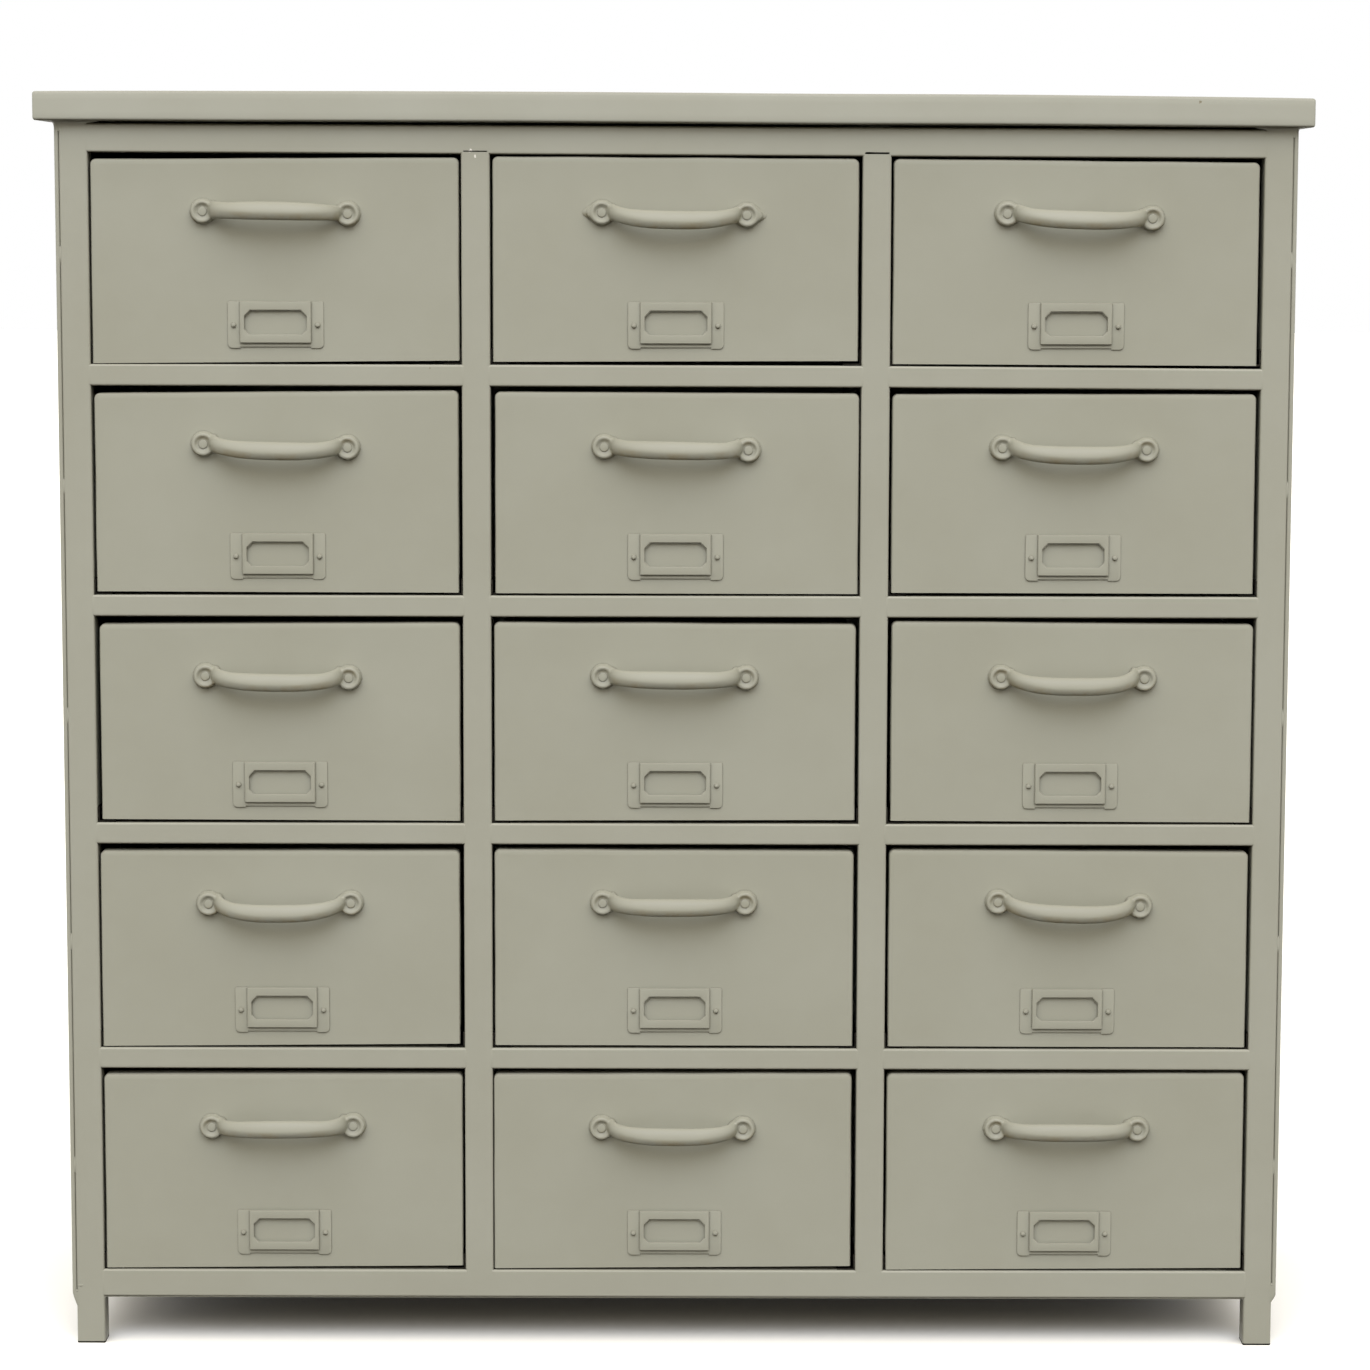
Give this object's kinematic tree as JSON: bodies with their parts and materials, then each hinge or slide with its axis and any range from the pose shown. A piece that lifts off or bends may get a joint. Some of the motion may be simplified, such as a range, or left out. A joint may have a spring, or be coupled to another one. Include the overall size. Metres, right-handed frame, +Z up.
{
  "type": "metal drawer cabinet",
  "caption": "Freestanding welded steel cabinet on short square legs, with a grid of inset sheet-metal drawers, bow pulls and label holders.",
  "frame": {"origin": "on the floor, at the middle of the whole cabinet's outline, handles included", "axes": "+X to the right seen from the front, +Y from the drawer fronts towards the back, +Z up"},
  "size_m": [1.111, 0.408, 1.114],
  "materials": {
    "frame": "satin",
    "panel": "satin",
    "top": "satin",
    "runner": "satin",
    "drawer": "satin",
    "handle": "painted satin",
    "label_holder": "satin",
    "foot": "matte"
  },
  "bodies": {
    "cabinet": {"corner_posts": "frame", "front_stiles": "frame", "rear_stiles": "frame", "front_rails": "frame", "rear_rails": "frame", "depth_rails": "frame", "side_panel_left": "panel", "side_panel_right": "panel", "back_panel": "panel", "bottom_panel": "panel", "top_panel": "top", "foot_plugs": "foot", "runners_left": "runner", "runners_middle": "runner", "runners_right": "runner"},
    "drawer_left_1": {"drawer_left_1": "drawer", "handle_left_1": "handle", "label_holder_left_1": "label_holder"},
    "drawer_left_2": {"drawer_left_2": "drawer", "handle_left_2": "handle", "label_holder_left_2": "label_holder"},
    "drawer_left_3": {"drawer_left_3": "drawer", "handle_left_3": "handle", "label_holder_left_3": "label_holder"},
    "drawer_left_4": {"drawer_left_4": "drawer", "handle_left_4": "handle", "label_holder_left_4": "label_holder"},
    "drawer_left_5": {"drawer_left_5": "drawer", "handle_left_5": "handle", "label_holder_left_5": "label_holder"},
    "drawer_middle_1": {"drawer_middle_1": "drawer", "handle_middle_1": "handle", "label_holder_middle_1": "label_holder"},
    "drawer_middle_2": {"drawer_middle_2": "drawer", "handle_middle_2": "handle", "label_holder_middle_2": "label_holder"},
    "drawer_middle_3": {"drawer_middle_3": "drawer", "handle_middle_3": "handle", "label_holder_middle_3": "label_holder"},
    "drawer_middle_4": {"drawer_middle_4": "drawer", "handle_middle_4": "handle", "label_holder_middle_4": "label_holder"},
    "drawer_middle_5": {"drawer_middle_5": "drawer", "handle_middle_5": "handle", "label_holder_middle_5": "label_holder"},
    "drawer_right_1": {"drawer_right_1": "drawer", "handle_right_1": "handle", "label_holder_right_1": "label_holder"},
    "drawer_right_2": {"drawer_right_2": "drawer", "handle_right_2": "handle", "label_holder_right_2": "label_holder"},
    "drawer_right_3": {"drawer_right_3": "drawer", "handle_right_3": "handle", "label_holder_right_3": "label_holder"},
    "drawer_right_4": {"drawer_right_4": "drawer", "handle_right_4": "handle", "label_holder_right_4": "label_holder"},
    "drawer_right_5": {"drawer_right_5": "drawer", "handle_right_5": "handle", "label_holder_right_5": "label_holder"}
  },
  "joints": [
    {"name": "slide_left_1", "type": "slide", "parent": "cabinet", "child": "drawer_left_1", "axis": [0, -1, 0], "range_m": [0, 0.3]},
    {"name": "slide_left_2", "type": "slide", "parent": "cabinet", "child": "drawer_left_2", "axis": [0, -1, 0], "range_m": [0, 0.3]},
    {"name": "slide_left_3", "type": "slide", "parent": "cabinet", "child": "drawer_left_3", "axis": [0, -1, 0], "range_m": [0, 0.3]},
    {"name": "slide_left_4", "type": "slide", "parent": "cabinet", "child": "drawer_left_4", "axis": [0, -1, 0], "range_m": [0, 0.3]},
    {"name": "slide_left_5", "type": "slide", "parent": "cabinet", "child": "drawer_left_5", "axis": [0, -1, 0], "range_m": [0, 0.3]},
    {"name": "slide_middle_1", "type": "slide", "parent": "cabinet", "child": "drawer_middle_1", "axis": [0, -1, 0], "range_m": [0, 0.3]},
    {"name": "slide_middle_2", "type": "slide", "parent": "cabinet", "child": "drawer_middle_2", "axis": [0, -1, 0], "range_m": [0, 0.3]},
    {"name": "slide_middle_3", "type": "slide", "parent": "cabinet", "child": "drawer_middle_3", "axis": [0, -1, 0], "range_m": [0, 0.3]},
    {"name": "slide_middle_4", "type": "slide", "parent": "cabinet", "child": "drawer_middle_4", "axis": [0, -1, 0], "range_m": [0, 0.3]},
    {"name": "slide_middle_5", "type": "slide", "parent": "cabinet", "child": "drawer_middle_5", "axis": [0, -1, 0], "range_m": [0, 0.3]},
    {"name": "slide_right_1", "type": "slide", "parent": "cabinet", "child": "drawer_right_1", "axis": [0, -1, 0], "range_m": [0, 0.3]},
    {"name": "slide_right_2", "type": "slide", "parent": "cabinet", "child": "drawer_right_2", "axis": [0, -1, 0], "range_m": [0, 0.3]},
    {"name": "slide_right_3", "type": "slide", "parent": "cabinet", "child": "drawer_right_3", "axis": [0, -1, 0], "range_m": [0, 0.3]},
    {"name": "slide_right_4", "type": "slide", "parent": "cabinet", "child": "drawer_right_4", "axis": [0, -1, 0], "range_m": [0, 0.3]},
    {"name": "slide_right_5", "type": "slide", "parent": "cabinet", "child": "drawer_right_5", "axis": [0, -1, 0], "range_m": [0, 0.3]}
  ]
}
